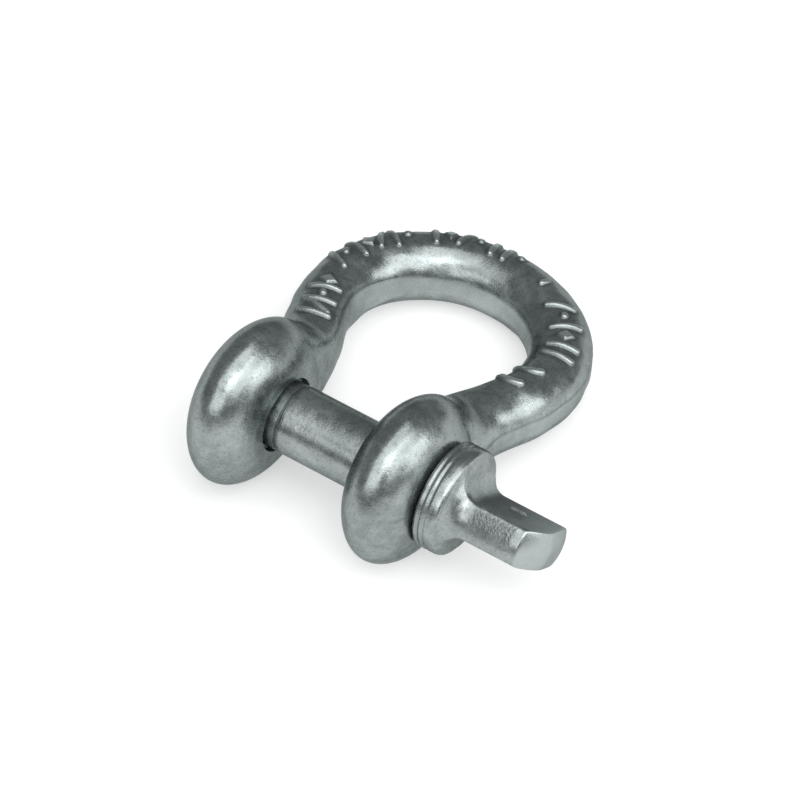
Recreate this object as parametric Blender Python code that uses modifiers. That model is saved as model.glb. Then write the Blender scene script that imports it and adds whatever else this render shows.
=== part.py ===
"""Screw-pin bow shackle: a forged bow with two eyes and a forged screw pin.

The shackle lies on a flat surface on the rims of its two eyes and on the crown of the bow.
X runs along the pin towards its head, Y towards the crown of the bow, Z up.
The origin is the middle of the base of the object's bounding box.
"""
from math import asin, atan2, cos, pi, radians, sin

import bmesh
import bpy
from mathutils import Matrix

# ---- driving dimensions, in metres and degrees ----
JAW = 0.0264                # clear gap between the two eyes
EYE_THICKNESS = 0.0190
EYE_DIAMETER = 0.0444
EYE_LAND_DIAMETER = 0.0242  # flat ring round each bore
RIM_POWER = 1.5             # 1 makes the rim's section an ellipse, more makes it leaner
THREADED_EYE_DROP = 0.0012  # how far each eye's rim is forged off its bore, away from the crown
PLAIN_EYE_DROP = 0.0004

BAR_WIDTH = 0.0174          # across the bar in the bow's plane, at the eyes
CROWN_WIDTH = 0.0166
BAR_DEPTH_RATIO = 1.06      # the forging is a little deeper than it is wide
BOW_RADIUS = 0.0306         # centre line of the round part of the bow
BOW_CENTRE = 0.0490         # from the pin's axis to the centre of the round part
BOW_SQUASH = 0.93           # how much flatter the crown is than a true circle
NECK_HEIGHT = 0.0080        # from the pin's axis to where the legs start to spread

SHANK_DIAMETER = 0.0180
THREAD_DIAMETER = 0.0166    # pitch diameter of the pin's thread
THREAD_LENGTH = 0.0175
PIN_END_RECESS = 0.0006     # how far the pin's end stays inside the threaded eye
PIN_END_CHAMFER = 0.0012
SHOULDER_CHAMFER = 0.0006
BORE_CLEARANCE = 0.0006     # radial gap round the shank in the plain eye
THREAD_CLEARANCE = 0.0004   # radial gap round the thread in the threaded eye
BORE_CHAMFER = 0.0008
THREAD_CHAMFER = 0.0022     # countersink that lets the shank's shoulder into the threaded eye

COLLAR_GAP = 0.0006         # between the plain eye and the collar
COLLAR_DIAMETER = 0.0280
COLLAR_THICKNESS = 0.0064
COLLAR_EDGE = 0.0008
FILLET_LENGTH = 0.0060      # concave run from the collar down to the tongue
FILLET_POWER = 2.8
TONGUE_LENGTH = 0.0190      # from the fillet to the free end
TONGUE_WIDTH = 0.0188       # across the rounded narrow sides
TONGUE_THICKNESS = 0.0100   # across the two flats
NEAR_CORNER = 0.0050        # how far the end's outline falls back at each narrow side
FAR_CORNER = 0.0012
FLAT_RUNOUT = 0.0050        # radius where each flat runs out towards the collar
TONGUE_TURN = 26.7          # degrees that the flats lean towards the crown

ROUND_STEPS = 40
BAR_RESOLUTION = 8          # gives 20 sides
ARC_POINTS = 8
CROWN_POINTS = 38
RIM_POINTS = 14
FILLET_POINTS = 6
RUNOUT_STEPS = 4
END_POINTS = 14
CUT_OVERSHOOT = 0.002
MERGE = 0.00001

# ---- worked out from the driving dimensions ----
EYE_RADIUS = EYE_DIAMETER / 2
EYE_CENTRE = JAW / 2 + EYE_THICKNESS / 2
EYE_OUTER_FACE = JAW / 2 + EYE_THICKNESS
CROWN_REACH = BOW_CENTRE + BOW_RADIUS * BOW_SQUASH
CROWN_DEPTH = CROWN_WIDTH * BAR_DEPTH_RATIO
LIE_ANGLE = asin((EYE_RADIUS - CROWN_DEPTH / 2) / CROWN_REACH)
SHANK_RADIUS = SHANK_DIAMETER / 2
THREAD_RADIUS = THREAD_DIAMETER / 2
PIN_END = -EYE_OUTER_FACE + PIN_END_RECESS
THREAD_END = PIN_END + THREAD_LENGTH
COLLAR_BACK = EYE_OUTER_FACE + COLLAR_GAP
COLLAR_FRONT = COLLAR_BACK + COLLAR_THICKNESS
TONGUE_START = COLLAR_FRONT + FILLET_LENGTH
TONGUE_END = TONGUE_START + TONGUE_LENGTH
FLAT_START = TONGUE_START - FLAT_RUNOUT


def new_collection(name):
    collection = bpy.data.collections.new(name)
    bpy.context.scene.collection.children.link(collection)
    return collection


def material(name, colour, roughness, metallic):
    mat = bpy.data.materials.new(name)
    mat.use_nodes = True
    shader = mat.node_tree.nodes["Principled BSDF"]
    shader.inputs["Base Color"].default_value = (*colour, 1)
    shader.inputs["Roughness"].default_value = roughness
    shader.inputs["Metallic"].default_value = metallic
    return mat


def turned(name, profile, collection, parent):
    """A solid of revolution about X. The profile is (x, radius) points from the low x to the high x."""
    mesh = bpy.data.meshes.new(name)
    bm = bmesh.new()
    verts = [bm.verts.new((radius, 0, x)) for x, radius in reversed(profile)]
    for upper, lower in zip(verts, verts[1:]):
        bm.edges.new((upper, lower))
    bm.to_mesh(mesh)
    bm.free()
    obj = bpy.data.objects.new(name, mesh)
    collection.objects.link(obj)
    obj.parent = parent
    obj.rotation_euler.y = radians(90)
    screw = obj.modifiers.new("turn", "SCREW")
    screw.axis = "Z"
    screw.steps = ROUND_STEPS
    screw.render_steps = ROUND_STEPS
    screw.use_merge_vertices = True
    screw.merge_threshold = MERGE
    return obj


def as_guide(obj):
    obj.hide_render = True
    obj.display_type = "WIRE"


def as_mesh(name, curve, collection, parent):
    """The curve's solid as a mesh object with its caps welded on."""
    source = bpy.data.objects.new(name + "_curve", curve)
    collection.objects.link(source)
    bpy.context.view_layer.update()
    evaluated = source.evaluated_get(bpy.context.evaluated_depsgraph_get())
    mesh = bpy.data.meshes.new_from_object(evaluated)
    bpy.data.objects.remove(source)
    bm = bmesh.new()
    bm.from_mesh(mesh)
    bmesh.ops.remove_doubles(bm, verts=bm.verts, dist=MERGE)
    bm.to_mesh(mesh)
    bm.free()
    obj = bpy.data.objects.new(name, mesh)
    collection.objects.link(obj)
    obj.parent = parent
    return obj


def boolean(obj, operation, other):
    modifier = obj.modifiers.new(operation.lower(), "BOOLEAN")
    modifier.operation = operation
    modifier.solver = "EXACT"
    modifier.object = other


def bow_centre_line():
    """Points of the bow's centre line in its own plane, from one eye round the crown to the other.

    Each leg starts straight up from its eye, spreads on an outward arc and joins the round part
    without a corner.
    """
    rise = BOW_CENTRE - NECK_HEIGHT
    arc_radius = (rise ** 2 + EYE_CENTRE ** 2 - BOW_RADIUS ** 2) / (2 * (BOW_RADIUS - EYE_CENTRE))
    arc_x = EYE_CENTRE + arc_radius
    join = atan2(-rise, arc_x)
    half = [(EYE_CENTRE, 0)]
    for i in range(ARC_POINTS):
        angle = pi + join * i / ARC_POINTS
        half.append((arc_x + arc_radius * cos(angle), NECK_HEIGHT + arc_radius * sin(angle)))
    half_crown = CROWN_POINTS // 2
    for i in range(half_crown + 1):
        angle = join + (pi / 2 - join) * i / half_crown
        squash = BOW_SQUASH if angle > 0 else 1
        half.append((BOW_RADIUS * cos(angle), BOW_CENTRE + BOW_RADIUS * squash * sin(angle)))
    return half + [(-x, y) for x, y in reversed(half[:-1])]


def bow_bar(collection, parent):
    """The round bar of the bow, as a mesh."""
    points = bow_centre_line()
    curve = bpy.data.curves.new("bow_bar", "CURVE")
    curve.dimensions = "3D"
    curve.bevel_depth = BAR_WIDTH / 2
    curve.bevel_resolution = BAR_RESOLUTION
    curve.use_fill_caps = True
    spline = curve.splines.new("POLY")
    spline.points.add(len(points) - 1)
    middle = (len(points) - 1) / 2
    for i, ((x, y), point) in enumerate(zip(points, spline.points)):
        point.co = (x, y, 0, 1)
        to_eye = abs(i - middle) / middle
        point.radius = (CROWN_WIDTH + (BAR_WIDTH - CROWN_WIDTH) * to_eye) / BAR_WIDTH
    bow = as_mesh("bow", curve, collection, parent)
    bow.data.transform(Matrix.Diagonal((1, 1, BAR_DEPTH_RATIO, 1)))
    return bow


def eye_profile():
    """A bulging ring: a flat land round the bore, and a rim that is full at its outermost circle."""
    land = EYE_LAND_DIAMETER / 2
    half = EYE_THICKNESS / 2
    profile = [(-half, 0)]
    for i in range(RIM_POINTS + 1):
        angle = pi * i / RIM_POINTS
        rise = (EYE_RADIUS - land) * abs(sin(angle)) ** RIM_POWER
        profile.append((-half * cos(angle), land + rise))
    profile.append((half, 0))
    return profile


def bore_profile(radius, inner_chamfer, outer_chamfer):
    """A cutter for a through bore from x = 0 at the eye's middle, with a chamfer at each face."""
    face = EYE_THICKNESS / 2
    end = face + CUT_OVERSHOOT
    return [
        (-end, 0),
        (-end, radius + inner_chamfer + CUT_OVERSHOOT),
        (-face + inner_chamfer, radius),
        (face - outer_chamfer, radius),
        (end, radius + outer_chamfer + CUT_OVERSHOOT),
        (end, 0),
    ]


def make_bow(collection, guides, parent):
    bow = bow_bar(collection, parent)
    eyes = ((-1, THREADED_EYE_DROP, "threaded_eye_blank"), (1, PLAIN_EYE_DROP, "plain_eye_blank"))
    for side, drop, name in eyes:
        blank = turned(name, eye_profile(), guides, parent)
        blank.location = (side * EYE_CENTRE, -drop, 0)
        as_guide(blank)
        boolean(bow, "UNION", blank)
    threaded = bore_profile(THREAD_RADIUS + THREAD_CLEARANCE, BORE_CHAMFER, THREAD_CHAMFER)
    plain = bore_profile(SHANK_RADIUS + BORE_CLEARANCE, BORE_CHAMFER, BORE_CHAMFER)
    for side, profile, name in ((-1, threaded, "threaded_bore"), (1, plain, "plain_bore")):
        cutter = turned(name, profile, guides, parent)
        cutter.location.x = side * EYE_CENTRE
        as_guide(cutter)
        boolean(bow, "DIFFERENCE", cutter)
    bow.data.materials.append(material("galvanised_bow", (0.42, 0.44, 0.43), 0.42, 0.9))
    return bow


def pin_profile():
    """From the threaded end to the tongue's free end, (x, radius)."""
    collar = COLLAR_DIAMETER / 2
    tongue = TONGUE_WIDTH / 2
    dish = collar - COLLAR_EDGE
    profile = [
        (PIN_END, 0),
        (PIN_END, THREAD_RADIUS - PIN_END_CHAMFER),
        (PIN_END + PIN_END_CHAMFER, THREAD_RADIUS),
        (THREAD_END, THREAD_RADIUS),
        (THREAD_END + SHOULDER_CHAMFER, SHANK_RADIUS),
        (COLLAR_BACK, SHANK_RADIUS),
        (COLLAR_BACK, dish),
        (COLLAR_BACK + COLLAR_EDGE, collar),
        (COLLAR_FRONT - COLLAR_EDGE, collar),
        (COLLAR_FRONT, dish),
    ]
    for i in range(1, FILLET_POINTS + 1):
        run = i / FILLET_POINTS
        radius = tongue + (dish - tongue) * (1 - run) ** FILLET_POWER
        profile.append((COLLAR_FRONT + FILLET_LENGTH * run, radius))
    profile += [(TONGUE_END, tongue), (TONGUE_END, 0)]
    return profile


def make_screw_pin(collection, guides, parent):
    pin = turned("screw_pin", pin_profile(), collection, parent)
    for side in (-1, 1):
        cutter = flat_cutter(guides, pin, side)
        as_guide(cutter)
        boolean(pin, "DIFFERENCE", cutter)
    cutter = end_cutter(guides, parent)
    as_guide(cutter)
    boolean(pin, "DIFFERENCE", cutter)
    pin.data.materials.append(material("galvanised_pin", (0.45, 0.47, 0.46), 0.38, 0.9))
    return pin


def flat_cutter(guides, pin, side):
    """A block that cuts one flat of the tongue and runs out in an arc into the collar's fillet."""
    length = TONGUE_END + CUT_OVERSHOOT - FLAT_START
    centre = FLAT_START + length / 2
    height = COLLAR_DIAMETER
    bm = bmesh.new()
    bmesh.ops.create_cube(bm, size=1)
    bmesh.ops.scale(bm, verts=bm.verts, vec=(height, 2 * COLLAR_DIAMETER, length))
    inner_edge = [
        edge for edge in bm.edges
        if all(v.co.x * side < 0 and v.co.z < 0 for v in edge.verts)
    ]
    bmesh.ops.bevel(
        bm, geom=inner_edge, offset=FLAT_RUNOUT, segments=RUNOUT_STEPS, affect="EDGES", profile=0.5
    )
    mesh = bpy.data.meshes.new("tongue_flat")
    bm.to_mesh(mesh)
    bm.free()
    cutter = bpy.data.objects.new("tongue_flat", mesh)
    guides.objects.link(cutter)
    cutter.parent = pin
    cutter.location = (side * (TONGUE_THICKNESS / 2 + height / 2), 0, centre)
    return cutter


def end_cutter(guides, parent):
    """A plate that rounds the tongue's end in plan, more at its lower narrow side."""
    half = TONGUE_WIDTH / 2
    outline = []
    for i in range(END_POINTS + 1):
        across = -1 + 2 * i / END_POINTS
        fall = NEAR_CORNER * abs(across) ** 2.4 if across < 0 else FAR_CORNER * across ** 3
        outline.append((TONGUE_END - fall, half * across))
    outline.append((TONGUE_END - FAR_CORNER, half + CUT_OVERSHOOT))
    outline.append((TONGUE_END + CUT_OVERSHOOT, half + CUT_OVERSHOOT))
    outline.append((TONGUE_END + CUT_OVERSHOOT, -half - CUT_OVERSHOOT))
    outline.append((TONGUE_END - NEAR_CORNER, -half - CUT_OVERSHOOT))
    curve = bpy.data.curves.new("tongue_end", "CURVE")
    curve.dimensions = "2D"
    curve.fill_mode = "BOTH"
    curve.extrude = TONGUE_WIDTH
    spline = curve.splines.new("POLY")
    spline.points.add(len(outline) - 1)
    for (x, y), point in zip(outline, spline.points):
        point.co = (x, y, 0, 1)
    spline.use_cyclic_u = True
    return as_mesh("tongue_end", curve, guides, parent)


def stand_on_base(frame, pieces):
    """Move the frame so that the pieces' box has the middle of its base at the origin."""
    bpy.context.view_layer.update()
    depsgraph = bpy.context.evaluated_depsgraph_get()
    points = []
    for piece in pieces:
        evaluated = piece.evaluated_get(depsgraph)
        mesh = evaluated.to_mesh()
        points += [evaluated.matrix_world @ vert.co for vert in mesh.vertices]
        evaluated.to_mesh_clear()
    for axis in range(3):
        low = min(point[axis] for point in points)
        high = max(point[axis] for point in points)
        frame.location[axis] = -low if axis == 2 else -(low + high) / 2
    bpy.context.view_layer.update()


def main():
    for obj in list(bpy.data.objects):
        bpy.data.objects.remove(obj)
    shackle = new_collection("bow_shackle")
    guides = new_collection("guides")

    # The bow's own plane holds the pin's axis and the crown, and leans down towards the crown.
    lie = bpy.data.objects.new("pin_axis", None)
    shackle.objects.link(lie)
    lie.rotation_euler.x = -LIE_ANGLE
    bow = make_bow(shackle, guides, lie)

    turn = bpy.data.objects.new("tongue_turn", None)
    shackle.objects.link(turn)
    turn.parent = lie
    turn.rotation_euler.x = -radians(TONGUE_TURN)
    pin = make_screw_pin(shackle, guides, turn)
    stand_on_base(lie, [bow, pin])


main()
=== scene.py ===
"""Looks of the bow shackle: a hot-dip galvanised forging and its screw pin on a pale floor.

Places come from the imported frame. The bow and the pin are rebuilt here with the detail that the
solids leave out: blended eyes, trimmed flash, raised marks, a real thread and forged surfaces.
"""
from math import asin, atan2, cos, pi, radians, sin

import bmesh
import bpy
import numpy as np
from mathutils import Matrix, Vector


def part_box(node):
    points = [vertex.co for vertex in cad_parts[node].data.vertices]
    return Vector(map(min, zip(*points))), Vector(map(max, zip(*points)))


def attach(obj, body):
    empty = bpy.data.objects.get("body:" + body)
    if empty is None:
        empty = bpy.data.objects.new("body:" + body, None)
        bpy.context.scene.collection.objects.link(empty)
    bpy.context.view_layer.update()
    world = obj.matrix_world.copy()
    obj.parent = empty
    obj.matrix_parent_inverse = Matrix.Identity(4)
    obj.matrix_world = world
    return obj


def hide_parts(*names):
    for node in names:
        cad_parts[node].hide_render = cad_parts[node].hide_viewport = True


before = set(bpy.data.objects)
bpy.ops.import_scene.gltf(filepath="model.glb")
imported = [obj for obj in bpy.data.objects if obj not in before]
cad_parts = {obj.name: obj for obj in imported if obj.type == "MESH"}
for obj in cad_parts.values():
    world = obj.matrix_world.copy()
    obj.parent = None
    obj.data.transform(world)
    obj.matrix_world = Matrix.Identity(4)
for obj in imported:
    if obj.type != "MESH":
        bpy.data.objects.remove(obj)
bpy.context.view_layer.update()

# ---- the shackle's driving dimensions, in metres and degrees, as in the solids ----
JAW = 0.0264
EYE_THICKNESS = 0.0190
EYE_RADIUS = 0.0222
EYE_LAND_RADIUS = 0.0121
THREADED_EYE_DROP = 0.0012
PLAIN_EYE_DROP = 0.0004
BAR_RADIUS = 0.0087
CROWN_BAR_RADIUS = 0.0083
BAR_DEPTH_RATIO = 1.06
BOW_RADIUS = 0.0306
BOW_CENTRE = 0.0490
BOW_SQUASH = 0.93
NECK_HEIGHT = 0.0080
SHANK_RADIUS = 0.0090
THREAD_LENGTH = 0.0175
PIN_END_RECESS = 0.0006
COLLAR_GAP = 0.0006
COLLAR_RADIUS = 0.0140
COLLAR_THICKNESS = 0.0064
FILLET_LENGTH = 0.0060
FILLET_POWER = 2.8
TONGUE_LENGTH = 0.0190
TONGUE_RADIUS = 0.0094
TONGUE_THICKNESS = 0.0100
TONGUE_TURN = 26.7
FLAT_RUNOUT = 0.0050

# ---- detail that only the looks have ----
EYE_BLEND = 0.0070          # how softly each leg runs into its eye
BLEND_START = EYE_LAND_RADIUS + 0.001
BLEND_END = EYE_RADIUS - 0.002
FLANK_CRISPNESS = 0.85      # how much of that blend is lost on the jaw side of the eye
FLANK_START = 0.0065        # how far from the eye's middle plane, towards the jaw, that starts
FLANK_END = 0.0090
EYE_POWER = 4 / 3           # how the eye rounds off from its land to its rim
EYE_SLOPE_POWER = 1 / 3     # one less than that
LEG_LAND = 0.0010           # how much further the eye keeps its full thickness towards the leg
LEG_FACING = (0.6, 1.0)     # cosines of the angle from the leg between which that grows
INNER_FLAT = 0.0023         # half height of the trimmed flash inside the crown
INNER_FLAT_SPREAD = 0.0027  # how much higher it gets towards the legs
SPREAD_SHARE = (0.2, 0.6)   # where along half of the bow it does
OUTER_FLAT = 0.0022
LEG_SWELL = 0.0016          # how much thicker each leg gets inside the jaw, towards its eye
SWELL_SHARE = (0.58, 0.76)  # where along half of the bow that grows
FLASH_DEPTH = 0.00022
FLASH_WIDTH = 0.00035
FLASH_FADE = 0.010          # it fades in from this far before the crown's middle to as far after
FLAT_EDGE = 0.0003
LEG_FLAT_EDGE = 0.0040      # the inner flat's edges fade out along the legs
LEG_FLAT_FADE = (0.44, 0.66)
MARK_WIDTH = 0.0014
MARK_FLANK = 0.0004
MARK_HEIGHT = 0.0007
MARK_REACH = (0.008, 0.012)     # every mark ends nearer to its middle, along and round the bar
DOT_RADIUS = MARK_WIDTH * 0.7
LOZENGE_ASPECT = 1.3
LOZENGE_SCALE = 1.64        # the length of (1.3, 1)
LUMP_HEIGHT = 0.00008
LUMP_SIZES = (0.006, 0.020)
LUMP_WAVES = 18
LUMP_SEED = 3
THREAD_PITCH = 0.0025
THREAD_CREST = 0.0088
THREAD_ROOT = 0.00745
THREAD_ROOT_SHARE = 0.12    # the share of each turn that is flat root
THREAD_FLANK_SHARE = 0.7    # the share that its two sloping flanks take together
THREAD_GAP = 0.0003
THREAD_FADE = (0.0011, 0.0002)  # how far before its end the thread runs out
START_CHAMFER = 0.0004
JAW_SINK = 0.0009           # the wide mouth of the threaded bore on the jaw side
SINK_DEPTH = 0.0020
SINK_STEEPNESS = 4
OUTER_CHAMFER = 0.0002
PLAIN_CHAMFER = 0.0008
BORE_CLEARANCE = 0.0006
BORE_OVERRUN = 0.002        # how far a cutter stands out past each face
BAND_RADIUS = 0.0089        # the turned band of the shank beside the threaded eye
BAND_LENGTH = 0.0030
GROOVE_WIDTH = 0.0005
GROOVE_DEPTH = 0.0003
GROOVE_FLANK = 0.0002
EDGE_STEP = 0.0001
SHANK_BEVEL = 0.0003
COLLAR_EDGE = 0.0008
COLLAR_SHOULDER = 0.0016    # how far the rim starts rounding before the front face
COLLAR_OFFSET = 0.0009      # the collar is forged off centre, towards the upper flat
LEAN_RISE = (0.0006, 0.0020)    # how far outside the shank that offset comes in
LEAN_FADE = 0.0040
RIM_GROOVE = 0.00014
RIM_GROOVE_PITCH = 0.0015
RIM_GROOVES = 2
FLAT_SOFTNESS = 0.0012
NEAR_CORNER = 0.0050
NEAR_POWER = 1.7
FAR_CORNER = 0.0012
FAR_POWER = 3
END_BULGE = 0.0009
END_EDGE = 0.0003
STAMP_START = 0.0504
STAMP_END = 0.0535
STAMP_SIDE = 0.0010
STAMP_HEIGHT = 0.0006
STAMP_BULB = 0.0008
STAMP_WAIST = 0.0003        # how much narrower it is between its ends
STAMP_TAPER = (0.0004, 0.0012)
STAMP_FLANK = (0.0004, -0.0006)
UPPER_SINE = 0.2            # above this sine of the angle a point belongs to the upper flat
DENT_PLACES = (0.0556, 0.0566)
DENT_MIDDLE = 168
DENT_RADIUS = 0.0040
DENT_SWEEP = 0.6
LIP_WIDTH = 0.0004
LIP_FLANK = 0.0002
LIP_HEIGHT = 0.00007

# ---- wear, painted shade and painted highlights: each pair is where it starts and where it is full, in metres or degrees ----
TRIM_EDGE = 0.0002
OUTER_SHARE = 0.8           # points further in than this share of the bar aren't on its skin
# raised marks are painted lighter within this depth: partly rubbed zinc, partly a painted highlight
MARK_RUB_AND_HIGHLIGHT = 0.0005
# painted shade round the foot of each mark, stopping a little inside it
FOOT_SHADE = (0.0015, 0.0003)
FOOT_SHADE_END = (-0.0003, 0.0002)
# painted shade along the trimming line above the outer flat
FLASH_SHADE = 0.6
CAP_EDGE = (0.0012, 0.0004)
# the tongue's end face is made darker
CAP_DARKENING = 0.25
SHEAR_EDGE = (0.0004, 0.0001)
# the end face's edge is painted lighter: partly rubbed zinc, partly a painted highlight
SHEAR_RUB_AND_HIGHLIGHT = 0.4
SHOULDER_EDGE = (0.0005, 0.0002)
# a painted highlight along the collar's front edge, partly rubbed zinc
SHOULDER_RUB_AND_HIGHLIGHT = 0.6
BEATEN_MIDDLE = 165
BEATEN_SPREAD = (35, 15)
BEATEN_MARGIN = (0.0002, 0.0014)
BEATEN_START = (0.0440, 0.0465)
BEATEN_STOP = (0.0580, 0.0560)
# the beaten patch is made darker
BEATEN_DARKENING = 0.85
# painted shade in the shank's groove
GROOVE_SHADE_WIDTH = 0.0004
# painted shade on the tongue's upper flat
FLAT_SHADE = 0.75
FLAT_SHADE_LOSS = 0.45       # how much less of it there is at the tongue's free end
FLAT_SHADE_EDGE = 0.0002
FLAT_SHADE_RISE = 0.0030
FLAT_SHADE_CAP = 0.001

# ---- mesh fineness and limits ----
FAR = 1.0                   # further than any distance on the shackle, in metres
TINY = 1e-9
LEAST_RADIUS = 1e-6
LEAST_SINE = 1e-3
LEAST_EYE_SLOPE = 0.5 / EYE_THICKNESS
LEG_POINTS = 60
CROWN_POINTS = 160
LINE_POINTS = 900
PLACE_ROUNDS = 6
LINE_STEP = 6               # the bar's rough mesh has a ring at every sixth of the line's points
ROUGH_EYE_POWER = 1.5
BAR_SIDES = 24
EYE_RINGS = 40
EYE_SIDES = 96
VOXEL = 0.0008
PROBE = 2e-5                # half the distance over which the surface's slope is measured
LONGEST_STEP = 0.0008
LEAST_SLOPE = 0.05
SETTLE_ROUNDS = 3
REFINE_REACHES = (0.0007, 0.0003)
SKIN_SHARE = 0.15           # points this near the bar's outline, as a share of it, are on its skin
BORE_RINGS = 150
BORE_SIDES = 96
PLAIN_BORE_SIDES = 128
THREAD_RINGS = 126
SHANK_SPACING = 0.0010
COLLAR_SPACING = 0.0007
NECK_RINGS = 30
TONGUE_RINGS = 70
COLLAR_CORNER_POINTS = 6
RIM_POINTS = 21
CAP_CORNER_POINTS = 5
CAP_RINGS = 18
CAP_MIDDLE = 0.03           # the last ring's size, as a share of the rim
PIN_SIDES = 160
BOW_CREASE = 35             # edges that turn more sharply than this, in degrees, stay sharp
PIN_CREASE = 40

# ---- colours and studio ----
BOW_LIGHT = (0.345, 0.382, 0.380, 1)
BOW_DARK = (0.215, 0.242, 0.240, 1)
PIN_LIGHT = (0.350, 0.384, 0.382, 1)
PIN_DARK = (0.230, 0.257, 0.255, 1)
EDGE_TINT = (0.40, 0.42, 0.42, 1)
METALLIC = 0.92
NOISE_SETTINGS = (4.0, 0.6)     # detail and roughness of the mottle
TONE_SPREAD = (0.75, 1.25)      # the sum of mottle and patches that is darkest and lightest
TRIM_SPREAD = (0.0, 1.0, 0.8, 0.2)      # how much of the texture trimming leaves
SPECK_SPREAD = (0.44, 0.34, 0.0, 0.6)   # the noise where specks start and are full, and how full
ROUGH_SPREAD = (0.7, 1.3, 0.20, 0.36)   # the sum of mottle and grain, and the roughness it gives
DARKENED_ROUGHNESS = 0.15
SPECK_SHADE = 0.6
# how much each stored layer covers and tints: trimmed flats lighter, marks and edges lighter as rubbed
# zinc and painted highlights, painted shade darker
LAYER_COVER = {"trimmed": 0.25, "rub_and_highlight": 0.7, "shade_and_dirt": 0.6}
LAYER_TONE = {"trimmed": 1.2, "rub_and_highlight": 1.7, "shade_and_dirt": 0.4}
MOTTLE_SIZE = 0.0030
MOTTLE_DEPTH = 0.00011
PATCH_SIZE = 0.014
GRAIN_SIZE = 0.00045
GRAIN_DEPTH = 0.000028
SPECK_SIZE = 0.0008
BEATEN_DEPTH = 0.00035
FLOOR_COLOUR = (0.62, 0.62, 0.62, 1)
FLOOR_ROUGHNESS = 0.9
FLOOR_GLOW = 0.45
FLOOR_SIZE = 2.0
WORLD_COLOUR = (0.21, 0.22, 0.22, 1)
CAMERA_ANGLES = (34.41, 48.83)
CAMERA_DISTANCE = 1.1109
CAMERA_AIM = (0.0100, 0.0153, 0.0061)
LIGHT_DISTANCE = 1.0
SOFTBOXES = (
    # name, azimuth and elevation in degrees, width and height in metres, brightness
    ("right_softbox", 86, 46, (0.95, 0.70), 2.4),
    ("low_right_softbox", 106, 18, (0.60, 0.42), 3.0),
    ("high_right_softbox", 36, 57, (0.50, 0.38), 3.0),
    ("overhead_softbox", 70, 83, (0.95, 0.85), 2.0),
    ("high_left_softbox", -28, 55, (0.46, 0.34), 1.7),
    ("front_softbox", 0, 33, (0.90, 0.40), 2.1),
)
LENS = 205.1
SENSOR_WIDTH = 36

EYE_CENTRE = JAW / 2 + EYE_THICKNESS / 2
EYE_OUTER_FACE = JAW / 2 + EYE_THICKNESS
CROWN_REACH = BOW_CENTRE + BOW_RADIUS * BOW_SQUASH
LIE_ANGLE = asin((EYE_RADIUS - CROWN_BAR_RADIUS * BAR_DEPTH_RATIO) / CROWN_REACH)
PIN_END = -EYE_OUTER_FACE + PIN_END_RECESS
THREAD_END = PIN_END + THREAD_LENGTH
COLLAR_BACK = EYE_OUTER_FACE + COLLAR_GAP
COLLAR_FRONT = COLLAR_BACK + COLLAR_THICKNESS
TONGUE_START = COLLAR_FRONT + FILLET_LENGTH
TONGUE_END = TONGUE_START + TONGUE_LENGTH
FLAT_START = TONGUE_START - FLAT_RUNOUT


def pin_axis_middle():
    """The point of the pin's axis half way across the jaw."""
    low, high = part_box("screw_pin")
    return Vector((high.x - TONGUE_END, (low.y + high.y) / 2, (low.z + high.z) / 2))


ORIGIN = pin_axis_middle()
BOW_FRAME = Matrix.Translation(ORIGIN) @ Matrix.Rotation(-LIE_ANGLE, 4, "X")
PIN_FRAME = BOW_FRAME @ Matrix.Rotation(-radians(TONGUE_TURN), 4, "X")


def smooth_step(low, high, value):
    t = np.clip((value - low) / (high - low), 0, 1)
    return t * t * (3 - 2 * t)


def smooth_min(a, b, width):
    near = np.maximum(width - np.abs(a - b), 0)
    return np.minimum(a, b) - near * near / (4 * np.maximum(width, TINY))


# ---- the bow's shape, as a distance to its surface ----
def centre_line():
    """Even points of the bow's centre line from the threaded eye to the plain one, with their
    distance along it from the middle of the crown."""
    rise = BOW_CENTRE - NECK_HEIGHT
    radius = (rise ** 2 + EYE_CENTRE ** 2 - BOW_RADIUS ** 2) / (2 * (BOW_RADIUS - EYE_CENTRE))
    arc_x = EYE_CENTRE + radius
    join = atan2(-rise, arc_x)
    lean = np.linspace(0, join, LEG_POINTS, endpoint=False)
    leg = np.column_stack((arc_x - radius * np.cos(lean), NECK_HEIGHT - radius * np.sin(lean)))
    turn = np.linspace(join, pi / 2, CROWN_POINTS)
    squash = np.where(turn > 0, BOW_SQUASH, 1)
    crown = np.column_stack(
        (BOW_RADIUS * np.cos(turn), BOW_CENTRE + BOW_RADIUS * squash * np.sin(turn))
    )
    half = np.vstack(([[EYE_CENTRE, 0]], leg, crown))
    whole = np.vstack((half * [-1, 1], half[-2::-1]))
    steps = np.linalg.norm(np.diff(whole, axis=0), axis=1)
    length = np.concatenate(([0], np.cumsum(steps)))
    length -= length[-1] / 2
    even = np.linspace(length[0], length[-1], LINE_POINTS)
    return np.column_stack([np.interp(even, length, whole[:, i]) for i in range(2)]), even


LINE, LINE_LENGTH = centre_line()
LINE_TANGENT = np.gradient(LINE, axis=0)
LINE_TANGENT /= np.linalg.norm(LINE_TANGENT, axis=1)[:, None]
LINE_BEARING = np.arctan2(LINE[:, 0], LINE[:, 1] - BOW_CENTRE)
HALF_LENGTH = LINE_LENGTH[-1]


def read_line(table, along):
    return np.column_stack([np.interp(along, LINE_LENGTH, table[:, i]) for i in range(2)])


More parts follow.
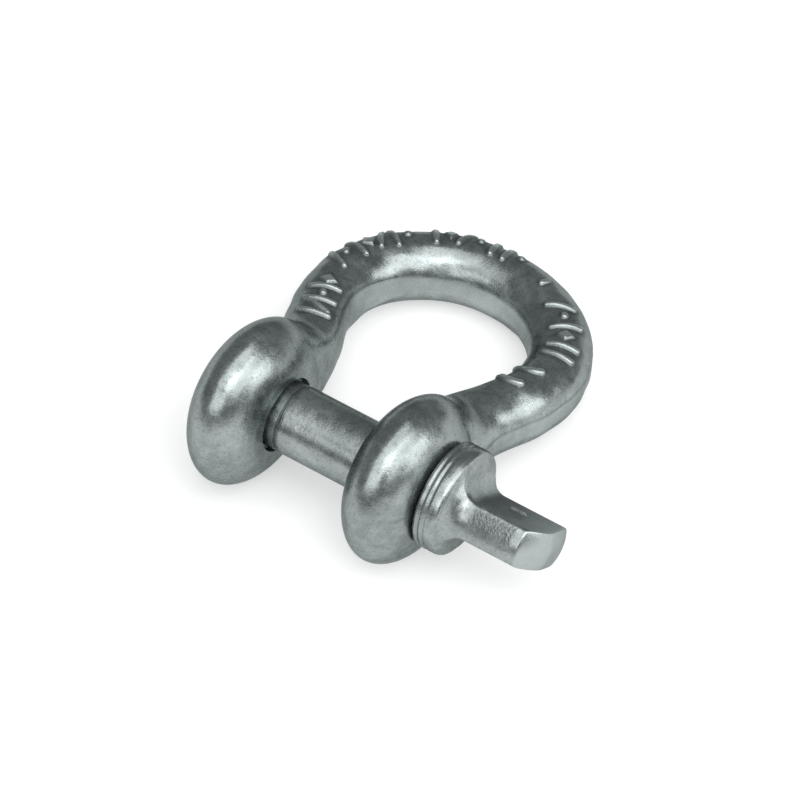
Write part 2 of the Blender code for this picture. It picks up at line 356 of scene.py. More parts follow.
def bar_place(points):
    """How far along the bar each point is, and its outward offset, height and overrun."""
    flat = points[:, :2]
    bearing = np.arctan2(flat[:, 0], flat[:, 1] - BOW_CENTRE)
    along = np.interp(bearing, LINE_BEARING, LINE_LENGTH)
    for _ in range(PLACE_ROUNDS):
        step = ((flat - read_line(LINE, along)) * read_line(LINE_TANGENT, along)).sum(1)
        along = np.clip(along + step, -HALF_LENGTH, HALF_LENGTH)
    offset = flat - read_line(LINE, along)
    tangent = read_line(LINE_TANGENT, along)
    outward = offset[:, 1] * tangent[:, 0] - offset[:, 0] * tangent[:, 1]
    return along, outward, points[:, 2], (offset * tangent).sum(1)


def bar_section(along):
    """The bar's half width and half depth, and the half height of its inner flat."""
    leg = np.abs(along) / HALF_LENGTH
    a = CROWN_BAR_RADIUS + (BAR_RADIUS - CROWN_BAR_RADIUS) * leg
    return a, a * BAR_DEPTH_RATIO, INNER_FLAT + INNER_FLAT_SPREAD * smooth_step(*SPREAD_SHARE, leg)


def girth_of(a, b, outward, height):
    """How far round the bar each point is from its top, positive outwards."""
    return a * (pi / 2 - np.arctan2(height / b, outward / a))


def flash_line(along, outward, height):
    """1 on the thin line that the trimming tool left above the outer flat, fading to 0 beside it."""
    near = np.exp(-(((height - OUTER_FLAT) / FLASH_WIDTH) ** 2))
    return near * (outward > 0) * smooth_step(-FLASH_FADE, FLASH_FADE, along)


def bar_distance(points):
    """Distance to the bent bar with its trimmed flats, its thicker legs and its raised marks."""
    along, outward, height, overrun = bar_place(points)
    a, b, inner_half = bar_section(along)
    ring = np.sqrt((outward / a) ** 2 + (height / b) ** 2 + (overrun / a) ** 2)
    slope = np.sqrt((outward / a ** 2) ** 2 + (height / b ** 2) ** 2 + (overrun / a ** 2) ** 2)
    distance = ring * (ring - 1) / np.maximum(slope, 1)
    inner = -outward - a * np.sqrt(1 - (inner_half / b) ** 2)
    outer = outward - a * np.sqrt(1 - (OUTER_FLAT / b) ** 2)
    inner_edge = FLAT_EDGE + LEG_FLAT_EDGE * smooth_step(*LEG_FLAT_FADE, np.abs(along) / HALF_LENGTH)
    distance = -smooth_min(-distance, -inner, inner_edge)
    distance = -smooth_min(-distance, -outer, FLAT_EDGE)
    distance = distance + FLASH_DEPTH * flash_line(along, outward, height)
    swell = LEG_SWELL * smooth_step(*SWELL_SHARE, np.abs(along) / HALF_LENGTH)
    swell = swell * smooth_step(0, BAR_RADIUS, -outward)
    return distance - swell - mark_height(along, girth_of(a, b, outward, height))


def eye_distance(points, side, drop):
    """Distance to one eye: a disc that is flat as far as its land and rounds off to its rim."""
    radius = np.hypot(points[:, 1] + drop, points[:, 2])
    towards_leg = smooth_step(*LEG_FACING, (points[:, 1] + drop) / np.maximum(radius, LEAST_RADIUS))
    across = (points[:, 0] - side * EYE_CENTRE) / (EYE_THICKNESS / 2)
    land = EYE_LAND_RADIUS + LEG_LAND * towards_leg
    depth = EYE_RADIUS - land
    rise = np.maximum(radius - land, 0) / depth
    value = across ** 2 + rise ** EYE_POWER - 1
    slope = np.hypot(2 * across / (EYE_THICKNESS / 2), EYE_POWER * rise ** EYE_SLOPE_POWER / depth)
    return value / np.maximum(slope, LEAST_EYE_SLOPE)


def forged_lumps(points):
    """Gentle unevenness of about 1 from smooth waves in many directions."""
    rng = np.random.default_rng(LUMP_SEED)
    total = np.zeros(len(points))
    for size in np.linspace(*LUMP_SIZES, LUMP_WAVES):
        direction = rng.normal(size=3)
        direction *= 2 * pi / size / np.linalg.norm(direction)
        total += np.sin(points @ direction + rng.uniform(0, 2 * pi))
    return total / np.sqrt(LUMP_WAVES / 2)


def bow_distance(points):
    """Distance to the whole bow: the uneven bar, blended into its two eyes."""
    distance = bar_distance(points) - LUMP_HEIGHT * forged_lumps(points)
    radius = np.hypot(points[:, 1], points[:, 2])
    rise = smooth_step(BLEND_START, BLEND_END, radius)
    beside = smooth_step(FLANK_START, FLANK_END, EYE_CENTRE - np.abs(points[:, 0]))
    blend = EYE_BLEND * rise * (1 - FLANK_CRISPNESS * beside)
    for side, drop in ((-1, THREADED_EYE_DROP), (1, PLAIN_EYE_DROP)):
        distance = smooth_min(distance, eye_distance(points, side, drop), blend)
    return distance


# ---- raised marks: generic strokes, dots and lozenges that form no letters ----
def stroke(u, v, length, turn=0.0):
    """Distance to a straight ridge's middle line. It crosses the bar when turn is 0."""
    run = v * cos(turn) + u * sin(turn)
    off = u * cos(turn) - v * sin(turn)
    return np.hypot(np.maximum(np.abs(run) - length / 2, 0), off) - MARK_WIDTH / 2


def dot(u, v):
    return np.hypot(u, v) - DOT_RADIUS


def lozenge(u, v):
    return (np.abs(u) * LOZENGE_ASPECT + np.abs(v)) / LOZENGE_SCALE - MARK_WIDTH


def arc(u, v, radius, sweep, width):
    """Distance to a ridge on part of a circle whose middle is at u = -radius."""
    bearing = np.clip(np.arctan2(v, u + radius), -sweep, sweep)
    return np.hypot(u + radius - radius * np.cos(bearing), v - radius * np.sin(bearing)) - width / 2


def mark_distance(along, girth):
    """Distance to the nearest mark's outline, negative inside it. The girth is measured round the
    bar from its top, positive outwards."""
    nearest = np.full_like(along, FAR)
    for place, middle, shape, extra in MARKS:
        u = along - place
        v = girth - middle
        close = (np.abs(u) < MARK_REACH[0]) & (np.abs(v) < MARK_REACH[1])
        if close.any():
            nearest[close] = np.minimum(nearest[close], shape(u[close], v[close], *extra))
    return nearest


def mark_height(along, girth):
    distance = mark_distance(along, girth)
    return MARK_HEIGHT * smooth_step(MARK_FLANK, -MARK_FLANK, distance)


def lay_marks():
    """Groups of marks along the bar: where each starts, its step, its line round the bar, kinds."""
    groups = (
        (-0.0685, 0.0027, 0.0002, "|/|o|x"),
        (-0.0462, 0.0034, 0.0024, "/o|x/|o"),
        (-0.0190, 0.0036, 0.0030, "|x/o||o"),
        (0.0222, 0.0039, 0.0004, "/o|x||"),
    )
    # each kind's shape and its further sizes: length and turn of a stroke, none for the others
    shapes = {
        "|": (stroke, (0.0076,)),
        "/": (stroke, (0.0070, 0.45)),
        "o": (dot, ()),
        "x": (lozenge, ()),
    }
    marks = []
    for start, step, middle, kinds in groups:
        for i, kind in enumerate(kinds):
            marks.append((start + i * step, middle, *shapes[kind]))
    # one short stroke beside the crown's middle, and two arcs on the plain eye's leg, given by
    # their radius, half sweep and width
    marks.append((0.0126, 0.0008, stroke, (0.0020,)))
    for place in (0.0520, 0.0590):
        marks.append((place, -0.0040, arc, (0.0065, 0.8, 0.0019)))
    return marks


MARKS = lay_marks()


# ---- meshes ----
def link(name, mesh):
    obj = bpy.data.objects.new(name, mesh)
    bpy.context.scene.collection.objects.link(obj)
    return obj


def grid_mesh(name, rings):
    """A mesh from rings of equal point counts, with its two ends closed by fans."""
    count, sides, _ = rings.shape
    points = rings.reshape(-1, 3)
    ring, spot = np.meshgrid(np.arange(count - 1), np.arange(sides), indexing="ij")
    after = (spot + 1) % sides
    quads = np.stack(
        (ring * sides + spot, ring * sides + after, (ring + 1) * sides + after, (ring + 1) * sides + spot),
        axis=-1,
    ).reshape(-1, 4)
    faces = quads.tolist()
    faces.append(list(range(sides))[::-1])
    faces.append(list(range((count - 1) * sides, count * sides)))
    mesh = bpy.data.meshes.new(name)
    mesh.from_pydata(points.tolist(), [], faces)
    mesh.validate()
    return mesh


def bar_rings():
    angle = np.linspace(0, 2 * pi, BAR_SIDES, endpoint=False)
    keep = slice(0, None, LINE_STEP)
    line, tangent = LINE[keep], LINE_TANGENT[keep]
    outward = np.column_stack((-tangent[:, 1], tangent[:, 0]))
    rings = np.zeros((len(line), len(angle), 3))
    rings[:, :, :2] = line[:, None] + BAR_RADIUS * np.cos(angle)[None, :, None] * outward[:, None]
    rings[:, :, 2] = BAR_RADIUS * BAR_DEPTH_RATIO * np.sin(angle)
    return rings


def turned_rings(profile, sides):
    """Rings about X of a profile of (x, radius) points."""
    angle = np.linspace(0, 2 * pi, sides, endpoint=False)
    x, radius = np.asarray(profile).T
    rings = np.zeros((len(x), sides, 3))
    rings[:, :, 0] = x[:, None]
    rings[:, :, 1] = radius[:, None] * np.cos(angle)
    rings[:, :, 2] = radius[:, None] * np.sin(angle)
    return rings


def eye_rings(side):
    phi = np.linspace(0, pi, EYE_RINGS)
    rise = (EYE_RADIUS - EYE_LAND_RADIUS) * np.abs(np.sin(phi)) ** ROUGH_EYE_POWER
    x = side * EYE_CENTRE - EYE_THICKNESS / 2 * np.cos(phi)
    return turned_rings(np.column_stack((x, EYE_LAND_RADIUS + rise)), EYE_SIDES)


def read_points(mesh):
    points = np.empty(len(mesh.vertices) * 3)
    mesh.vertices.foreach_get("co", points)
    return points.reshape(-1, 3)


def slope_of(points):
    return np.column_stack([
        (bow_distance(points + PROBE * axis) - bow_distance(points - PROBE * axis)) / (2 * PROBE)
        for axis in np.eye(3)
    ])


def settle(mesh):
    """Move every point of the mesh onto the bow's surface."""
    points = read_points(mesh)
    for _ in range(SETTLE_ROUNDS):
        slope = slope_of(points)
        step = slope * (bow_distance(points) / np.maximum((slope ** 2).sum(1), LEAST_SLOPE))[:, None]
        reach = np.linalg.norm(step, axis=1)
        points = points - step * np.minimum(1, LONGEST_STEP / np.maximum(reach, TINY))[:, None]
    mesh.vertices.foreach_set("co", points.ravel())
    mesh.update()


def needs_detail(points, reach):
    """True for the points near a mark's outline or near the edge of a trimmed flat."""
    along, outward, height, _ = bar_place(points)
    a, b, inner_half = bar_section(along)
    round_bar = np.abs(np.hypot(outward / a, height / b) - 1) < SKIN_SHARE
    distance = mark_distance(along, girth_of(a, b, outward, height))
    near_mark = np.abs(distance + MARK_WIDTH / 4) < MARK_WIDTH / 2 + reach
    edge = np.where(outward < 0, inner_half, OUTER_FLAT)
    crisp = (outward > 0) | (np.abs(along) < LEG_FLAT_FADE[1] * HALF_LENGTH)
    near_flat = crisp & (np.abs(np.abs(height) - edge) < reach)
    return round_bar & (near_mark | near_flat)


def refine(mesh, reach):
    """Split the faces near fine detail in four."""
    wanted = needs_detail(read_points(mesh), reach)
    bm = bmesh.new()
    bm.from_mesh(mesh)
    bm.verts.ensure_lookup_table()
    edges = [e for e in bm.edges if wanted[e.verts[0].index] and wanted[e.verts[1].index]]
    bmesh.ops.subdivide_edges(bm, edges=edges, cuts=1, use_grid_fill=True)
    bm.to_mesh(mesh)
    bm.free()


def apply_modifiers(obj):
    bpy.context.view_layer.update()
    evaluated = obj.evaluated_get(bpy.context.evaluated_depsgraph_get())
    mesh = bpy.data.meshes.new_from_object(evaluated)
    obj.modifiers.clear()
    obj.data = mesh
    return mesh


def thread_height(x, angle):
    """0 at the root and 1 at the crest of the thread, at each place along X and round the axis."""
    phase = (x / THREAD_PITCH - angle / (2 * pi)) % 1
    flank = 1 - np.abs(2 * phase - 1)
    return np.clip((flank - THREAD_ROOT_SHARE) / THREAD_FLANK_SHARE, 0, 1)


def threaded_bore_rings():
    face = EYE_THICKNESS / 2
    x = np.linspace(-face - BORE_OVERRUN, face + BORE_OVERRUN, BORE_RINGS)
    angle = np.linspace(0, 2 * pi, BORE_SIDES, endpoint=False)
    crest = THREAD_CREST + THREAD_GAP
    root = THREAD_ROOT + THREAD_GAP
    places = x[:, None] - EYE_CENTRE + 0 * angle
    radius = root + (crest - root) * thread_height(places, angle)
    jaw_sink = crest + JAW_SINK - np.maximum(face - SINK_DEPTH - x, 0) * SINK_STEEPNESS
    outer_sink = crest - OUTER_CHAMFER + (-face - x)
    radius = np.maximum(radius, jaw_sink[:, None])
    radius = np.maximum(radius, outer_sink[:, None])
    rings = np.zeros((len(x), len(angle), 3))
    rings[:, :, 0] = places
    rings[:, :, 1] = radius * np.cos(angle)
    rings[:, :, 2] = radius * np.sin(angle)
    return rings


def plain_bore_rings():
    face = EYE_THICKNESS / 2
    radius = SHANK_RADIUS + BORE_CLEARANCE
    mouth = radius + PLAIN_CHAMFER + BORE_OVERRUN
    profile = [
        (-face - BORE_OVERRUN, mouth),
        (-face + PLAIN_CHAMFER, radius),
        (face - PLAIN_CHAMFER, radius),
        (face + BORE_OVERRUN, mouth),
    ]
    profile = [(x + EYE_CENTRE, r) for x, r in profile]
    return turned_rings(profile, PLAIN_BORE_SIDES)


def cut(obj, rings, name):
    cutter = link(name, grid_mesh(name, rings))
    modifier = obj.modifiers.new(name, "BOOLEAN")
    modifier.operation = "DIFFERENCE"
    modifier.solver = "MANIFOLD"
    modifier.object = cutter
    apply_modifiers(obj)
    bpy.data.objects.remove(cutter)


def make_bow():
    meshes = [grid_mesh("bar", bar_rings())]
    meshes += [grid_mesh("eye", eye_rings(side)) for side in (-1, 1)]
    bm = bmesh.new()
    for mesh in meshes:
        bm.from_mesh(mesh)
    joined = bpy.data.meshes.new("bow_visual")
    bm.to_mesh(joined)
    bm.free()
    bow = link("bow_visual", joined)
    remesh = bow.modifiers.new("remesh", "REMESH")
    remesh.mode = "VOXEL"
    remesh.voxel_size = VOXEL
    mesh = apply_modifiers(bow)
    settle(mesh)
    for reach in REFINE_REACHES:
        refine(mesh, reach)
        settle(mesh)
    cut(bow, threaded_bore_rings(), "threaded_bore")
    cut(bow, plain_bore_rings(), "plain_bore")
    store_bow_wear_and_shade(bow.data)
    finish_mesh(bow, BOW_FRAME, BOW_CREASE)
    return bow


def store(mesh, name, values):
    attribute = mesh.attributes.new(name, "FLOAT", "POINT")
    attribute.data.foreach_set("value", np.asarray(values, dtype=np.float32))


def store_bow_wear_and_shade(mesh):
    """Where the bow is trimmed smooth, where its marks are painted lighter, partly as rubbed zinc and
    partly as a painted highlight, and where shade is painted round the foot of each mark and along the
    trimming line.
    """
    points = read_points(mesh)
    along, outward, height, _ = bar_place(points)
    a, b, inner_half = bar_section(along)
    half = np.where(outward < 0, inner_half, OUTER_FLAT)
    outside = np.hypot(outward / a, height / b) > OUTER_SHARE
    clear_of_eye = np.hypot(points[:, 1], points[:, 2]) > EYE_RADIUS
    crisp = np.where(outward < 0, smooth_step(*LEG_FLAT_FADE[::-1], np.abs(along) / HALF_LENGTH), 1)
    trimmed = crisp * smooth_step(half + TRIM_EDGE, half - TRIM_EDGE, np.abs(height))
    store(mesh, "trimmed", trimmed * outside * clear_of_eye)
    distance = mark_distance(along, girth_of(a, b, outward, height))
    # the marks' tops are painted lighter: partly rubbed zinc, partly a painted highlight
    store(mesh, "rub_and_highlight", smooth_step(0.0, -MARK_RUB_AND_HIGHLIGHT, distance))
    # painted shade round the foot of each mark and along the trimming line
    foot_shade = smooth_step(*FOOT_SHADE, distance) * smooth_step(*FOOT_SHADE_END, distance)
    line = FLASH_SHADE * flash_line(along, outward, height) * outside
    store(mesh, "shade_and_dirt", np.maximum(foot_shade, line))


def beaten_share(x, y, z):
    """1 on the beaten patch of the tongue's narrow side, fading to 0 at its edges."""
    angle = np.arctan2(z, y) % (2 * pi)
    spread = np.radians(BEATEN_SPREAD)
    side = smooth_step(*spread, np.abs(angle - radians(BEATEN_MIDDLE)))
    start, full = (TONGUE_THICKNESS / 2 - margin for margin in BEATEN_MARGIN)
    off_edge = smooth_step(start, full, np.abs(z))
    return side * off_edge * smooth_step(*BEATEN_START, x) * smooth_step(*BEATEN_STOP, x)


def flat_shade(x, z, end_cap):
    """Painted shade on the tongue's upper flat, most of it in the neck."""
    amount = FLAT_SHADE - FLAT_SHADE_LOSS * smooth_step(TONGUE_START, TONGUE_END, x)
    flat = smooth_step(FLAT_SHADE_EDGE, 0.0, TONGUE_THICKNESS / 2 - z)
    flat = flat * smooth_step(TONGUE_START - FLAT_SHADE_RISE, TONGUE_START, x)
    return amount * (flat * smooth_step(0.0, FLAT_SHADE_CAP, end_cap))


def store_pin_wear_and_shade(mesh):
    """Where the pin is sheared smooth or beaten, where it is painted lighter, partly as rubbed zinc and
    partly as painted highlights on the collar's front edge, the stamp and the end's edge, and where it is
    painted darker: painted shade in the groove and on the upper flat, and a darker beaten patch and end
    face.
    """
    x, y, z = read_points(mesh).T
    end_cap = tongue_end(y, z) - x
    cap = smooth_step(*CAP_EDGE, end_cap)
    store(mesh, "trimmed", cap)
    # a painted highlight along the collar's front edge, partly rubbed zinc
    from_shoulder = np.hypot(x - COLLAR_FRONT + COLLAR_SHOULDER / 2, np.hypot(y, z) - COLLAR_RADIUS)
    shoulder = SHOULDER_RUB_AND_HIGHLIGHT * smooth_step(*SHOULDER_EDGE, from_shoulder)
    # the stamp is painted bright, as a highlight
    stamp = (z > TONGUE_THICKNESS / 2) * stamp_height(x, y) / STAMP_HEIGHT
    # the end face's edge is painted lighter: partly rubbed zinc, partly a painted highlight
    sheared = SHEAR_RUB_AND_HIGHLIGHT * smooth_step(*SHEAR_EDGE, end_cap)
    store(mesh, "rub_and_highlight", np.maximum.reduce((shoulder, stamp, sheared)))
    beaten = beaten_share(x, y, z)
    store(mesh, "beaten", beaten)
    # painted shade in the groove beside the band
    from_groove = np.abs(x - THREAD_END - BAND_LENGTH - GROOVE_WIDTH / 2)
    groove = smooth_step(GROOVE_SHADE_WIDTH, 0.0, from_groove)
    # painted shade on the tongue's upper flat; the beaten patch and the end face are made darker
    shade_on_flat = flat_shade(x, z, end_cap) * (1 - stamp)
    shade_and_dirt = (BEATEN_DARKENING * beaten, CAP_DARKENING * cap, groove, shade_on_flat)
    store(mesh, "shade_and_dirt", np.maximum.reduce(shade_and_dirt))


def finish_mesh(obj, placing, crease):
    obj.data.materials.clear()
    obj.data.transform(placing)
    obj.data.polygons.foreach_set("use_smooth", [True] * len(obj.data.polygons))
    obj.data.set_sharp_from_angle(angle=radians(crease))
    obj.data.update()


# ---- the pin, as rings from its threaded end to the tongue's free end ----
def dense(path, spacing):
    """The same path with points no further apart than the spacing."""
    parts = [np.asarray(path[:1], dtype=float)]
    for start, end in zip(np.asarray(path), np.asarray(path)[1:]):
        count = max(1, int(np.ceil(np.linalg.norm(end - start) / spacing)))
        parts.append(start + (end - start) * np.arange(1, count + 1)[:, None] / count)
    return np.vstack(parts)


def collar_path():
    """From the shank up the back face, along the rim with its two shallow grooves, to the dish."""
    dish = COLLAR_RADIUS - COLLAR_EDGE
    turn = np.linspace(0, pi / 2, COLLAR_CORNER_POINTS)
    back = np.column_stack(
        (COLLAR_BACK + COLLAR_EDGE * (1 - np.cos(turn)), dish + COLLAR_EDGE * np.sin(turn))
    )
    run = np.linspace(0, RIM_GROOVES * RIM_GROOVE_PITCH, RIM_POINTS)[1:]
    sink = RIM_GROOVE * (1 - np.cos(2 * pi * run / RIM_GROOVE_PITCH)) / 2
    rim = np.column_stack((COLLAR_BACK + COLLAR_EDGE + run, COLLAR_RADIUS - sink))
    front = np.column_stack(
        (COLLAR_FRONT - COLLAR_SHOULDER * (1 - np.sin(turn)), dish + COLLAR_EDGE * np.cos(turn))
    )
    return [(COLLAR_BACK, SHANK_RADIUS), *back.tolist(), *rim.tolist(), *front.tolist()]


def fillet_radius(x):
    run = np.clip((x - COLLAR_FRONT) / FILLET_LENGTH, 0, 1)
    return TONGUE_RADIUS + (COLLAR_RADIUS - COLLAR_EDGE - TONGUE_RADIUS) * (1 - run) ** FILLET_POWER


def thread_rings(angle):
    """The threaded end, from its chamfered start to where the thread runs out in the band."""
    x = np.linspace(PIN_END, THREAD_END, THREAD_RINGS)[:, None] + 0 * angle
    height = thread_height(x, angle - radians(TONGUE_TURN))
    radius = THREAD_ROOT + (THREAD_CREST - THREAD_ROOT) * height
    fade = smooth_step(THREAD_END - THREAD_FADE[0], THREAD_END - THREAD_FADE[1], x)
    radius = radius + (BAND_RADIUS - radius) * fade
    return x, np.minimum(radius, THREAD_ROOT - START_CHAMFER + (x - PIN_END))


def stamp_height(x, y):
    """A small raised dumbbell on the tongue's upper flat."""
    run = np.clip(x, STAMP_START, STAMP_END)
    end = np.minimum(np.abs(x - STAMP_START), np.abs(x - STAMP_END))
    width = STAMP_BULB - STAMP_WAIST * smooth_step(*STAMP_TAPER, end)
    return STAMP_HEIGHT * smooth_step(*STAMP_FLANK, np.hypot(x - run, y - STAMP_SIDE) - width)


def tongue_radius(x, angle):
    """The tongue's section: a round bar between two flats, which run out towards the collar."""
    sine = np.maximum(np.abs(np.sin(angle)), LEAST_SINE)
    climb = np.clip(FLAT_START + FLAT_RUNOUT - x, 0, FLAT_RUNOUT)
    half = TONGUE_THICKNESS / 2 + FLAT_RUNOUT - np.sqrt(FLAT_RUNOUT ** 2 - climb ** 2)
    half = half + np.where(x < FLAT_START, FAR, 0.0)
    upper = np.sin(angle) > UPPER_SINE
    y = half / np.tan(np.where(upper, angle, pi / 2))
    half = half + np.where(upper, stamp_height(x, y), 0)
    return smooth_min(fillet_radius(x), half / sine, FLAT_SOFTNESS)


def tongue_marks(x, angle):
    """The raised lips of two curved dents on the narrow side that faces the near corner."""
    girth = (angle - radians(DENT_MIDDLE)) * TONGUE_RADIUS
    lips = [arc(place - x, girth, DENT_RADIUS, DENT_SWEEP, LIP_WIDTH) for place in DENT_PLACES]
    return LIP_HEIGHT * smooth_step(LIP_FLANK, -LIP_FLANK, np.minimum(*lips))


def tongue_end(y, z):
    """Where the end's surface is along X: rounded in plan and bulging between the flats."""
    across = y / TONGUE_RADIUS
    near = NEAR_CORNER * np.abs(across) ** NEAR_POWER
    far = FAR_CORNER * np.abs(across) ** FAR_POWER
    return TONGUE_END - np.where(across < 0, near, far) - END_BULGE * (2 * z / TONGUE_THICKNESS) ** 2


def shank_path():
    """From the thread's end, past its turned band and groove, to the collar's back face."""
    groove = THREAD_END + BAND_LENGTH
    groove_end = groove + GROOVE_WIDTH
    groove_radius = BAND_RADIUS - GROOVE_DEPTH
    return [
        (THREAD_END + EDGE_STEP, BAND_RADIUS),
        (groove, BAND_RADIUS),
        (groove + EDGE_STEP, groove_radius),
        (groove_end - GROOVE_FLANK, groove_radius),
        (groove_end, SHANK_RADIUS - EDGE_STEP),
        (groove_end + SHANK_BEVEL, SHANK_RADIUS),
        (COLLAR_BACK, SHANK_RADIUS),
    ]


def tongue_cap(rim, angle):
    """Rings over the rounded edge of the tongue's end and in to its middle."""
    turn = np.linspace(0, pi / 2, CAP_CORNER_POINTS)[1:, None]
    shrink = 1 - END_EDGE / TONGUE_RADIUS * (1 - np.cos(turn))
    inner = np.linspace(float(shrink[-1, 0]), CAP_MIDDLE, CAP_RINGS)[1:, None]
    reach = np.vstack((shrink, inner))
    sink = np.vstack((END_EDGE * (1 - np.sin(turn)), np.zeros_like(inner)))
    y, z = rim * np.cos(angle) * reach, rim * np.sin(angle) * reach
    return tongue_end(y, z) - sink, rim * reach


def collar_lean(x, radius):
    """How far each point moves with the collar, which is forged off centre."""
    start, full = (SHANK_RADIUS + rise for rise in LEAN_RISE)
    lean = smooth_step(start, full, radius)
    lean = lean * smooth_step(COLLAR_FRONT + LEAN_FADE, COLLAR_FRONT, x)
    return COLLAR_OFFSET * lean


def pin_rings():
    angle = np.linspace(0, 2 * pi, PIN_SIDES, endpoint=False)
    thread_x, thread_radius = thread_rings(angle)
    shank = dense(shank_path(), SHANK_SPACING)
    collar = dense(collar_path(), COLLAR_SPACING)[1:]
    plain = np.vstack((shank, collar))
    neck = np.linspace(COLLAR_FRONT, TONGUE_START, NECK_RINGS)[1:, None] + 0 * angle
    rim = tongue_radius(TONGUE_END + 0 * angle, angle)
    rim_end = tongue_end(rim * np.cos(angle), rim * np.sin(angle)) - END_EDGE
    share = np.linspace(0, 1, TONGUE_RINGS)[1:, None]
    side = TONGUE_START + share * (rim_end - TONGUE_START)
    cap_x, cap_radius = tongue_cap(rim, angle)

    x = np.vstack((thread_x, plain[:, :1] + 0 * angle, neck, side, cap_x))
    radius = np.vstack((
        thread_radius,
        plain[:, 1:] + 0 * angle,
        tongue_radius(neck, angle),
        tongue_radius(side, angle),
        cap_radius,
    ))
    radius = radius + tongue_marks(x, angle * np.ones_like(x))
    height = radius * np.sin(angle) + collar_lean(x, radius)
    return np.stack((x, radius * np.cos(angle), height), axis=-1)


def make_pin():
    pin = link("pin_visual", grid_mesh("pin_visual", pin_rings()))
    store_pin_wear_and_shade(pin.data)
    finish_mesh(pin, PIN_FRAME, PIN_CREASE)
    return pin


# ---- materials ----
class Nodes:
    """Short ways to add linked shader nodes to one material."""

    def __init__(self, name):
        self.material = bpy.data.materials.new(name)
        self.material.use_nodes = True
        self.tree = self.material.node_tree
        self.shader = self.tree.nodes["Principled BSDF"]
        self.place = self.tree.nodes.new("ShaderNodeTexCoord").outputs["Object"]

    def add(self, kind, inputs, **settings):
        node = self.tree.nodes.new(kind)
        for key, value in settings.items():
            setattr(node, key, value)
        for key, value in inputs.items():
            if isinstance(value, bpy.types.NodeSocket):
                self.tree.links.new(value, node.inputs[key])
            else:
                node.inputs[key].default_value = value
        return node

    def noise(self, size, detail=3.0, roughness=0.55):
        """Noise from about 0 to 1 whose lumps are about the given size in metres."""
        inputs = {"Vector": self.place, "Scale": 1 / size, "Detail": detail, "Roughness": roughness}
        return self.add("ShaderNodeTexNoise", inputs).outputs["Fac"]

    def spread(self, value, low, high, to_low=0.0, to_high=1.0):
        inputs = {"Value": value, "From Min": low, "From Max": high}
        inputs.update({"To Min": to_low, "To Max": to_high})
        return self.add("ShaderNodeMapRange", inputs).outputs["Result"]

    def math(self, operation, a, b):
        return self.add("ShaderNodeMath", {0: a, 1: b}, operation=operation).outputs[0]

    def mix(self, share, a, b):
        node = self.add("ShaderNodeMix", {"Factor": share}, data_type="RGBA")
        for socket, value in ((node.inputs[6], a), (node.inputs[7], b)):
            if isinstance(value, bpy.types.NodeSocket):
                self.tree.links.new(value, socket)
            else:
                socket.default_value = value
        return node.outputs[2]

    def point_value(self, name):
        """A value stored on the mesh's points, such as trimming, wear, painted shade and painted
        highlights.
        """
        return self.add("ShaderNodeAttribute", {}, attribute_name=name).outputs["Fac"]

    def bump(self, height, depth, strength, normal=None):
        """The height, from 0 to 1, stands for the given depth in metres."""
        inputs = {"Height": height, "Distance": depth, "Strength": strength}
        if normal is not None:
            inputs["Normal"] = normal
        return self.add("ShaderNodeBump", inputs).outputs["Normal"]


def shade(colour, factor):
    """The same colour, brighter or darker."""
    return (*(min(1.0, channel * factor) for channel in colour[:3]), 1)


def galvanised(name, light, dark):
    """Dipped zinc: a mottled grey skin with fine grain, painted shade in its corners and creases, and
    marks and edges painted lighter, partly as rubbed zinc and partly as painted highlights.
    """
    n = Nodes(name)
    trimmed = n.point_value("trimmed")
    rub_and_highlight = n.point_value("rub_and_highlight")
    shade_and_dirt = n.point_value("shade_and_dirt")
    mottle = n.noise(MOTTLE_SIZE, *NOISE_SETTINGS)
    patch = n.noise(PATCH_SIZE, 2.0)
    grain = n.noise(GRAIN_SIZE, 2.0, 0.6)
    specks = n.noise(SPECK_SIZE, 2.0, 0.7)

    tone = n.spread(n.math("ADD", mottle, patch), *TONE_SPREAD)
    colour = n.mix(tone, dark, light)
    rest = n.spread(trimmed, *TRIM_SPREAD)
    speckle = n.math("MULTIPLY", n.spread(specks, *SPECK_SPREAD), rest)
    colour = n.mix(speckle, colour, shade(dark, SPECK_SHADE))
    # trimmed flats lighter; marks and edges lighter, partly rubbed zinc and partly painted highlights;
    # painted shade darker
    for kind, point_value, base in (("trimmed", trimmed, light), ("rub_and_highlight", rub_and_highlight, light), ("shade_and_dirt", shade_and_dirt, dark)):
        cover = n.math("MULTIPLY", point_value, LAYER_COVER[kind])
        colour = n.mix(cover, colour, shade(base, LAYER_TONE[kind]))
    n.tree.links.new(colour, n.shader.inputs["Base Color"])

    rough = n.spread(n.math("ADD", mottle, grain), *ROUGH_SPREAD)
    # the painted shade is also made rougher
    rough = n.math("ADD", rough, n.math("MULTIPLY", shade_and_dirt, DARKENED_ROUGHNESS))
    n.tree.links.new(rough, n.shader.inputs["Roughness"])

    normal = n.bump(mottle, MOTTLE_DEPTH, rest)
    normal = n.bump(grain, GRAIN_DEPTH, rest, normal)
    normal = n.bump(specks, BEATEN_DEPTH, n.point_value("beaten"), normal)
    n.tree.links.new(normal, n.shader.inputs["Normal"])
    n.shader.inputs["Metallic"].default_value = METALLIC
    n.shader.inputs["Specular Tint"].default_value = EDGE_TINT
    return n.material


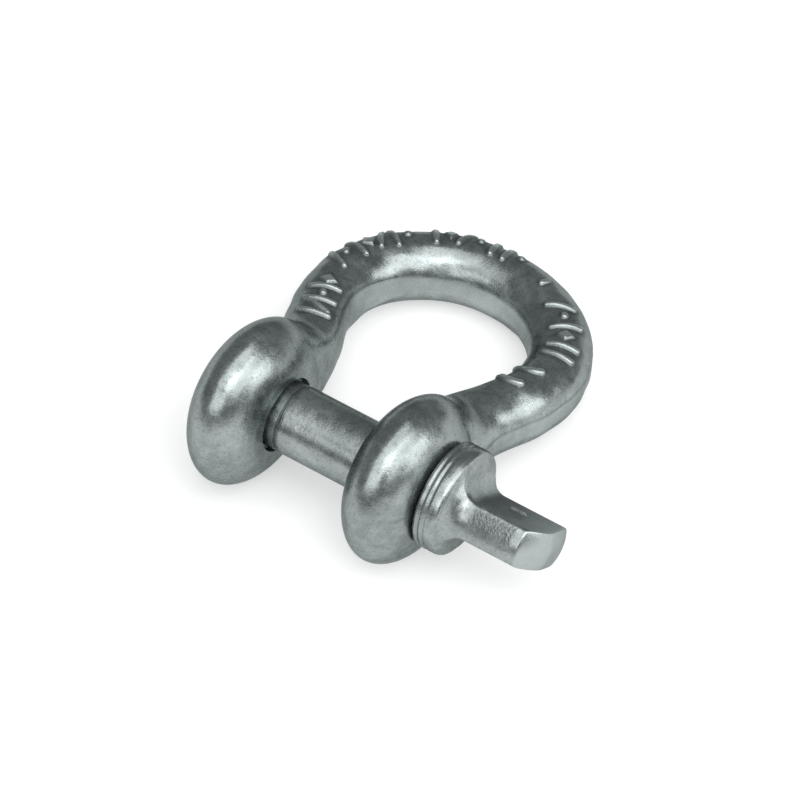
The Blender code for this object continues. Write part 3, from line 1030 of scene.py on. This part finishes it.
# ---- floor, light and camera ----
def make_floor():
    bm = bmesh.new()
    bmesh.ops.create_grid(bm, x_segments=8, y_segments=8, size=FLOOR_SIZE)
    mesh = bpy.data.meshes.new("floor")
    bm.to_mesh(mesh)
    bm.free()
    floor = link("floor", mesh)
    mat = bpy.data.materials.new("pale_floor")
    mat.use_nodes = True
    shader = mat.node_tree.nodes["Principled BSDF"]
    shader.inputs["Base Color"].default_value = FLOOR_COLOUR
    shader.inputs["Roughness"].default_value = FLOOR_ROUGHNESS
    shader.inputs["Emission Color"].default_value = (1, 1, 1, 1)
    shader.inputs["Emission Strength"].default_value = FLOOR_GLOW
    mesh.materials.append(mat)


def view_back(azimuth, elevation):
    """The direction from the shackle towards a place on the studio's dome, in degrees."""
    a, e = radians(azimuth), radians(elevation)
    return Vector((sin(a) * cos(e), -cos(a) * cos(e), sin(e)))


def softbox(name, azimuth, elevation, size, radiance):
    """A rectangular light of one even brightness that faces the shackle."""
    light = bpy.data.lights.new(name, "AREA")
    light.shape = "RECTANGLE"
    light.size, light.size_y = size
    light.energy = pi * size[0] * size[1] * radiance
    back = view_back(azimuth, elevation)
    obj = link(name, light)
    obj.location = ORIGIN + LIGHT_DISTANCE * back
    obj.rotation_euler = back.to_track_quat("Z", "Y").to_euler()


def make_lights():
    for settings in SOFTBOXES:
        softbox(*settings)
    world = bpy.data.worlds.new("studio")
    world.use_nodes = True
    world.node_tree.nodes["Background"].inputs["Color"].default_value = WORLD_COLOUR
    bpy.context.scene.world = world


def make_camera():
    camera = bpy.data.cameras.new("camera")
    camera.lens = LENS
    camera.sensor_width = SENSOR_WIDTH
    obj = link("camera", camera)
    back = view_back(*CAMERA_ANGLES)
    obj.location = ORIGIN + Vector(CAMERA_AIM) + CAMERA_DISTANCE * back
    obj.rotation_euler = back.to_track_quat("Z", "Y").to_euler()
    bpy.context.scene.camera = obj


bow = make_bow()
bow.data.materials.append(galvanised("bow_skin", BOW_LIGHT, BOW_DARK))
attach(bow, "bow")
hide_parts("bow")
pin = make_pin()
pin.data.materials.append(galvanised("pin_skin", PIN_LIGHT, PIN_DARK))
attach(pin, "screw_pin")
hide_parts("screw_pin")
make_floor()
make_lights()
make_camera()
bpy.context.scene.view_settings.view_transform = "Standard"
